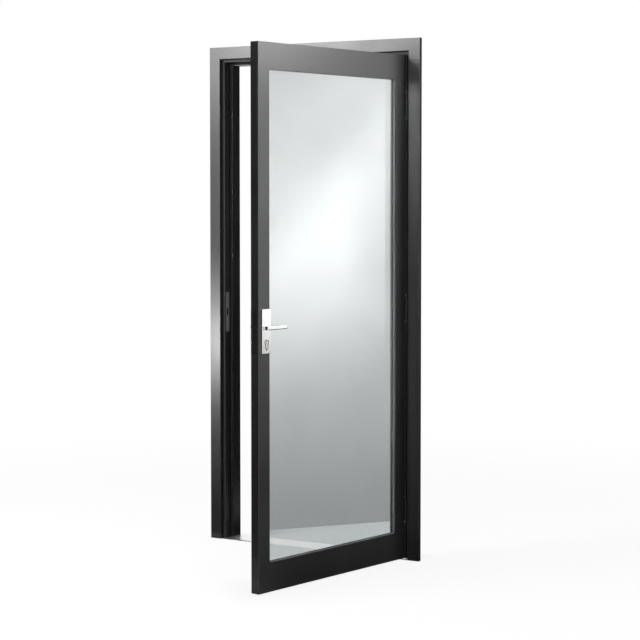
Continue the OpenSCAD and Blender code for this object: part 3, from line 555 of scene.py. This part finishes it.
# ---------------------------------------------------------------- studio


def seen_or_mirrored(tree, through_glass):
    """1 for rays from the camera or a reflection, and the given share for rays straight through glass."""
    path = add(tree, "ShaderNodeLightPath")
    mirrors = arithmetic(tree, "MINIMUM", path.outputs["Glossy Depth"], 1.0)
    mirrored = arithmetic(tree, "SUBTRACT", mirrors, path.outputs["Is Diffuse Ray"], clamp=True)
    shown = arithmetic(tree, "MAXIMUM", path.outputs["Is Camera Ray"], mirrored)
    through = arithmetic(tree, "MULTIPLY", path.outputs["Is Transmission Ray"], through_glass)
    return arithmetic(tree, "MAXIMUM", shown, through)


def hang_sheet(name, middle, turn, width, height, material, hidden_from=()):
    """A flat sheet of the stage, turned by degrees, that the named kinds of ray don't see."""
    bpy.ops.object.select_all(action="DESELECT")
    bpy.ops.mesh.primitive_plane_add(size=1, location=middle, rotation=[math.radians(angle) for angle in turn])
    sheet = bpy.context.active_object
    sheet.name = name
    sheet.scale = (width, height, 1.0)
    bpy.ops.object.transform_apply(location=True, rotation=True, scale=True)
    sheet.data.materials.append(material)
    for ray in hidden_from:
        setattr(sheet, "visible_" + ray, False)


# the floor's height and its greys, seen freely and through glass, where the darker grey behind glass is painted
# shade
FLOOR_HEIGHT = -0.0005
FLOOR_GREY = (0.86, 0.86, 0.86)
FLOOR_SHADED_GREY_BEHIND_GLASS = (0.60, 0.61, 0.61)

# how white the floor is shown, from one distance from the door to another
FLOOR_WHITENING = (1.0, 4.0, 0.85, 1.0)
FLOOR_WHITENING_BEHIND_GLASS = (1.5, 5.0, 0.3, 1.0)


def white_floor():
    """A matt floor that is shown white, and keeps some of the door's shadow near it; through glass its grey is
    darker, as painted shade.
    """
    material, tree = empty_material("White_floor")
    away = add(tree, "ShaderNodeVectorMath", operation="LENGTH")
    join(tree, add(tree, "ShaderNodeTexCoord").outputs["Object"], away.inputs[0])
    matt = add(tree, "ShaderNodeBsdfDiffuse")
    passed = add(tree, "ShaderNodeLightPath").outputs["Is Transmission Ray"]
    # painted shade: rays through glass see the floor in a darker grey
    join(tree, blend_colour(tree, passed, FLOOR_GREY, FLOOR_SHADED_GREY_BEHIND_GLASS), matt.inputs["Color"])
    white = add(tree, "ShaderNodeEmission", {"Color": WHITE, "Strength": 1.0})
    fade = span(tree, away.outputs["Value"], *FLOOR_WHITENING)
    through_glass = span(tree, away.outputs["Value"], *FLOOR_WHITENING_BEHIND_GLASS)
    mix = add(tree, "ShaderNodeMixShader")
    join(tree, arithmetic(tree, "MULTIPLY", seen_or_mirrored(tree, through_glass), fade), mix.inputs["Fac"])
    join(tree, matt.outputs["BSDF"], mix.inputs[1])
    join(tree, white.outputs["Emission"], mix.inputs[2])
    output = add(tree, "ShaderNodeOutputMaterial")
    join(tree, mix.outputs["Shader"], output.inputs["Surface"])
    return material


def lay_floor(size):
    """The square floor under the door."""
    hang_sheet("floor", (0, 0, FLOOR_HEIGHT), (0, 0, 0), size, size, white_floor())


EVEN_LIGHT = (0.97, 0.985, 1.0, 1.0)


def light_world(level):
    """White all round where it is seen, and an even, softer light on matt surfaces."""
    world = bpy.data.worlds.new("Studio_world")
    bpy.context.scene.world = world
    world.use_nodes = True
    tree = world.node_tree
    tree.nodes.clear()
    even = add(tree, "ShaderNodeBackground", {"Color": EVEN_LIGHT, "Strength": level})
    white = add(tree, "ShaderNodeBackground", {"Color": WHITE, "Strength": 1.0})
    mix = add(tree, "ShaderNodeMixShader")
    join(tree, seen_or_mirrored(tree, 1.0), mix.inputs["Fac"])
    join(tree, even.outputs["Background"], mix.inputs[1])
    join(tree, white.outputs["Background"], mix.inputs[2])
    output = add(tree, "ShaderNodeOutputWorld")
    join(tree, mix.outputs["Shader"], output.inputs["Surface"])


# name, place, aimed at, width, height, brightness of its middle
SOFTBOXES = (
    ("front_box", (-2.9, -4.9, 3.2), (0.0, 0.0, 1.7), 3.8, 2.4, 32.0),
    ("low_box", (-1.24, -1.25, 0.76), (-0.475, -0.08, 0.87), 0.5, 0.62, 36.0),
    ("side_box", (2.95, 1.35, 1.35), (0.35, -0.45, 1.35), 2.2, 2.3, 2.2),
    ("top_box", (1.49, -0.09, 2.37), (0.27, -0.88, 1.98), 0.45, 0.45, 55.0),
    ("right_box", (4.3, -3.1, 2.1), (0.47, -0.02, 1.8), 1.6, 1.4, 28.0),
    ("fill_box", (1.2, -6.0, 2.6), (0.45, -0.1, 2.0), 1.4, 1.0, 42.0),
)

# how a softbox fades from its middle to its rim
SOFTBOX_FADE = (0.05, 0.5, 1.0, 0.0)

# name, middle, turn in degrees, width, height, height where it begins to fade, height where it ends, rim
DARK_CLOTHS = (
    ("left_cloth", (-4.1, -3.5, 1.4), (90, 0, 0), 1.9, 2.8, 2.9, 3.0, 0.01),
    ("front_cloth", (-0.6, -2.6, 0.8), (90, 0, 0), 1.9, 1.6, 0.6, 1.6, 0.01),
    ("back_cloth", (1.0, 2.6, 1.7), (90, 0, 0), 3.4, 3.4, 3.5, 3.6, 0.01),
    ("right_cloth", (3.6, 1.9, 0.8), (90, 0, 55), 6.4, 1.6, 0.1, 1.5, 0.01),
    ("right_mat", (2.9, 1.4, 0.002), (0, 0, 0), 6.2, 5.0, 1.0, 2.0, 0.08),
    ("front_mat", (-0.9, -1.5, 0.002), (0, 0, 0), 3.2, 2.8, 1.0, 2.0, 0.01),
    ("inner_mat", (-0.1, 1.6, 0.002), (0, 0, 0), 0.8, 3.4, 1.0, 2.0, 0.01),
)

CLOTH_BLACK = (0.004, 0.004, 0.004, 1.0)

# the flag's middle, turn in degrees, width and height
FLAG = ((0.0, -1.1, 1.175), (90, 0, -54), 0.36, 2.05)

# the backdrop's foot on the floor: one point, its direction, its length from there, its height, and the rim
# before that point in which it fades in
BACKDROP_START = (-0.42, 0.147)
BACKDROP_ALONG = (0.623, 0.782)
BACKDROP_LENGTH = 1.4
BACKDROP_HEIGHT = 2.6
BACKDROP_RIM = 0.15

# the backdrop's painted light, each row from one height or place along its foot to another: the paper from the
# floor up, the edge of its painted patch of light with the edge's rise per metre along, the painted shade band
# from below, from above and along, the painted upper glow by height and along, and where the far end and the top
# fade out
PAPER_LIGHT = (0.0, 0.75, 0.41, 0.66)
PATCH_EDGE = (0.95, 1.35, 1.0, 0.5)
PATCH_RISE = 1.15
BAND_BELOW = (0.95, 1.2, 0.0, 0.24)
BAND_ABOVE = (1.3, 1.65, 1.0, 0.0)
BAND_ALONG = (0.4, 0.6, 0.0, 1.0)
GLOW_HEIGHT = (1.6, 2.0, 0.0, 0.18)
GLOW_ALONG = (0.1, 0.6, 0.95, 2.0)
FAR_END = (0.85, 1.35, 0.0, 1.0)
TOP_END = (2.2, 2.6, 0.0, 1.0)


def hang_softboxes():
    """Area lamps that fade towards their rims, as cloth-fronted softboxes do."""
    for name, place, aim, width, height, brightness in SOFTBOXES:
        lamp = bpy.data.lights.new(name, "AREA")
        lamp.shape = "RECTANGLE"
        lamp.size, lamp.size_y = width, height
        lamp.energy = brightness * math.pi * width * height
        lamp.use_nodes = True
        tree = lamp.node_tree
        tree.nodes.clear()
        across = add(tree, "ShaderNodeNewGeometry").outputs["Parametric"]
        centred = add(tree, "ShaderNodeVectorMath", operation="SUBTRACT")
        centred.inputs[1].default_value = (0.5, 0.5, 0.0)
        join(tree, across, centred.inputs[0])
        away = add(tree, "ShaderNodeVectorMath", operation="LENGTH")
        join(tree, centred.outputs["Vector"], away.inputs[0])
        emission = add(tree, "ShaderNodeEmission")
        join(tree, span(tree, away.outputs["Value"], *SOFTBOX_FADE), emission.inputs["Strength"])
        output = add(tree, "ShaderNodeOutputLight")
        join(tree, emission.outputs["Emission"], output.inputs["Surface"])
        holder = bpy.data.objects.new(name, lamp)
        bpy.context.scene.collection.objects.link(holder)
        holder.location = place
        holder.rotation_euler = (Vector(aim) - Vector(place)).to_track_quat("-Z", "Y").to_euler()
        holder.visible_camera = False


def matt_black(name):
    """Black cloth without gloss, its tree and its shader."""
    material = bpy.data.materials.new(name)
    material.use_nodes = True
    shader = material.node_tree.nodes["Principled BSDF"]
    shader.inputs["Base Color"].default_value = CLOTH_BLACK
    shader.inputs["Roughness"].default_value = 1.0
    shader.inputs["Specular IOR Level"].default_value = 0.0
    return material, material.node_tree, shader


def dark_cloth(name, fade_from, fade_to, rim):
    """Black cloth for reflections that fades out between two heights and over its rim, a share of its side."""
    material, tree, shader = matt_black(name)
    height = add(tree, "ShaderNodeSeparateXYZ")
    join(tree, add(tree, "ShaderNodeTexCoord").outputs["Object"], height.inputs["Vector"])
    left = span(tree, height.outputs["Z"], fade_from, fade_to, 1.0, 0.0)
    place = add(tree, "ShaderNodeSeparateXYZ")
    join(tree, add(tree, "ShaderNodeTexCoord").outputs["UV"], place.inputs["Vector"])
    for side in ("X", "Y"):
        from_middle = arithmetic(tree, "ABSOLUTE", arithmetic(tree, "SUBTRACT", place.outputs[side], 0.5))
        left = arithmetic(tree, "MULTIPLY", left, span(tree, from_middle, 0.5 - rim, 0.5, 1.0, 0.0))
    mirrored = add(tree, "ShaderNodeLightPath").outputs["Glossy Depth"]
    join(tree, arithmetic(tree, "MULTIPLY", left, mirrored, clamp=True), shader.inputs["Alpha"])
    return material


def hang_dark_cloths():
    """Dark cloths that only reflections show, so that glossy black and bright metal have dark sides."""
    for name, middle, turn, width, height, fade_from, fade_to, rim in DARK_CLOTHS:
        hang_sheet(name, middle, turn, width, height, dark_cloth(name, fade_from, fade_to, rim),
                   ("camera", "diffuse", "shadow", "volume_scatter"))


def stand_flag():
    """A matt black flag that keeps the front box's light off the leaf's free edge."""
    material, _, _ = matt_black("Black_flag")
    hang_sheet("edge_flag", *FLAG, material, ("camera", "diffuse", "transmission", "volume_scatter"))


def paper_with_painted_light():
    """Grey paper with painted light: a slanting lit patch, a shade band and a glow, fading out at its ends and its
    top.
    """
    material, tree = empty_material("Backdrop_with_painted_light")
    place = add(tree, "ShaderNodeTexCoord").outputs["Object"]
    upward = add(tree, "ShaderNodeSeparateXYZ")
    join(tree, place, upward.inputs["Vector"])
    height = upward.outputs["Z"]
    along = add(tree, "ShaderNodeVectorMath", operation="DOT_PRODUCT")
    along.inputs[1].default_value = (*BACKDROP_ALONG, 0.0)
    join(tree, place, along.inputs[0])
    start = sum(foot * step for foot, step in zip(BACKDROP_START, BACKDROP_ALONG))
    across = arithmetic(tree, "SUBTRACT", along.outputs["Value"], start)
    slant = arithmetic(tree, "SUBTRACT", height, arithmetic(tree, "MULTIPLY", across, PATCH_RISE))
    # painted light: the paper's emission carries a lit patch, a shade band and an upper glow
    light = arithmetic(tree, "MULTIPLY", span(tree, height, *PAPER_LIGHT), span(tree, slant, *PATCH_EDGE))
    band = arithmetic(tree, "MULTIPLY", span(tree, height, *BAND_BELOW), span(tree, height, *BAND_ABOVE))
    band = arithmetic(tree, "MULTIPLY", band, span(tree, across, *BAND_ALONG))
    light = arithmetic(tree, "MULTIPLY", light, arithmetic(tree, "SUBTRACT", 1.0, band))
    glow = arithmetic(tree, "MULTIPLY", span(tree, height, *GLOW_HEIGHT), span(tree, across, *GLOW_ALONG))
    paper = add(tree, "ShaderNodeEmission", {"Color": WHITE})
    join(tree, arithmetic(tree, "ADD", light, glow), paper.inputs["Strength"])
    gone = add(tree, "ShaderNodeBsdfTransparent")
    near_end = span(tree, across, -BACKDROP_RIM, 0.0, 1.0, 0.0)
    ends = arithmetic(tree, "MAXIMUM", span(tree, across, *FAR_END), near_end)
    mix = add(tree, "ShaderNodeMixShader")
    join(tree, arithmetic(tree, "MAXIMUM", ends, span(tree, height, *TOP_END)), mix.inputs["Fac"])
    join(tree, paper.outputs["Emission"], mix.inputs[1])
    join(tree, gone.outputs["BSDF"], mix.inputs[2])
    output = add(tree, "ShaderNodeOutputMaterial")
    join(tree, mix.outputs["Shader"], output.inputs["Surface"])
    return material


def hang_backdrop():
    """A backdrop with painted light behind the door that only the glass shows."""
    half = (BACKDROP_LENGTH - BACKDROP_RIM) / 2
    middle = [foot + step * half for foot, step in zip(BACKDROP_START, BACKDROP_ALONG)]
    turn = (90, 0, math.degrees(math.atan2(BACKDROP_ALONG[1], BACKDROP_ALONG[0])))
    hang_sheet("backdrop", (*middle, BACKDROP_HEIGHT / 2), turn, BACKDROP_LENGTH + BACKDROP_RIM, BACKDROP_HEIGHT,
               paper_with_painted_light(), ("camera", "diffuse", "glossy", "shadow", "volume_scatter"))


def set_camera(studio):
    """The camera at the photograph's viewing angle."""
    camera = bpy.data.cameras.new("camera")
    camera.lens = studio.camera_lens
    camera.sensor_width = SENSOR_WIDTH
    camera.shift_y = studio.camera_shift
    holder = bpy.data.objects.new("camera", camera)
    bpy.context.scene.collection.objects.link(holder)
    holder.location = studio.camera_place
    holder.rotation_euler = (math.radians(90) - studio.camera_dip, 0, studio.camera_turn)
    bpy.context.scene.camera = holder


class DOOR_OT_set_studio(bpy.types.Operator):
    """Sets up the camera, the floor, the world, the softboxes, the dark cloths, the flag and the backdrop"""

    bl_idname = "door.set_studio"
    bl_label = "Set studio"

    def execute(self, context):
        studio = context.scene.door_studio
        set_camera(studio)
        lay_floor(studio.floor_size)
        light_world(studio.world_level)
        hang_softboxes()
        hang_dark_cloths()
        stand_flag()
        hang_backdrop()
        context.scene.view_settings.view_transform = "Standard"
        return {"FINISHED"}


# ---------------------------------------------------------------- add-on


STEPS = (
    DOOR_OT_finish_frame,
    DOOR_OT_finish_leaf,
    DOOR_OT_finish_hinges,
    DOOR_OT_lay_wiper,
    DOOR_OT_finish_handle,
    DOOR_OT_set_studio,
)


class DOOR_PT_finishes(bpy.types.Panel):
    """Lists the door's finishes, its studio and the steps that make them"""

    bl_idname = "DOOR_PT_finishes"
    bl_label = "Casement door"
    bl_space_type = "VIEW_3D"
    bl_region_type = "UI"
    bl_category = "Door"

    def draw(self, context):
        for settings in (context.scene.door_finishes, context.scene.door_studio):
            box = self.layout.box()
            for name in settings.__annotations__:
                box.prop(settings, name)
        for step in STEPS:
            self.layout.operator(step.bl_idname)


CLASSES = (DoorFinishes, DoorStudio, *STEPS, DOOR_PT_finishes)


def register():
    """Registers the classes and hangs the settings on the scene."""
    for entry in CLASSES:
        bpy.utils.register_class(entry)
    bpy.types.Scene.door_finishes = bpy.props.PointerProperty(type=DoorFinishes)
    bpy.types.Scene.door_studio = bpy.props.PointerProperty(type=DoorStudio)


def unregister():
    """Takes the settings and the classes away again."""
    del bpy.types.Scene.door_studio
    del bpy.types.Scene.door_finishes
    for entry in reversed(CLASSES):
        bpy.utils.unregister_class(entry)


def main():
    """Runs every step in order."""
    register()
    bpy.ops.door.finish_frame()
    bpy.ops.door.finish_leaf()
    bpy.ops.door.finish_hinges()
    bpy.ops.door.lay_wiper()
    bpy.ops.door.finish_handle()
    bpy.ops.door.set_studio()


if __name__ == "__main__":
    main()
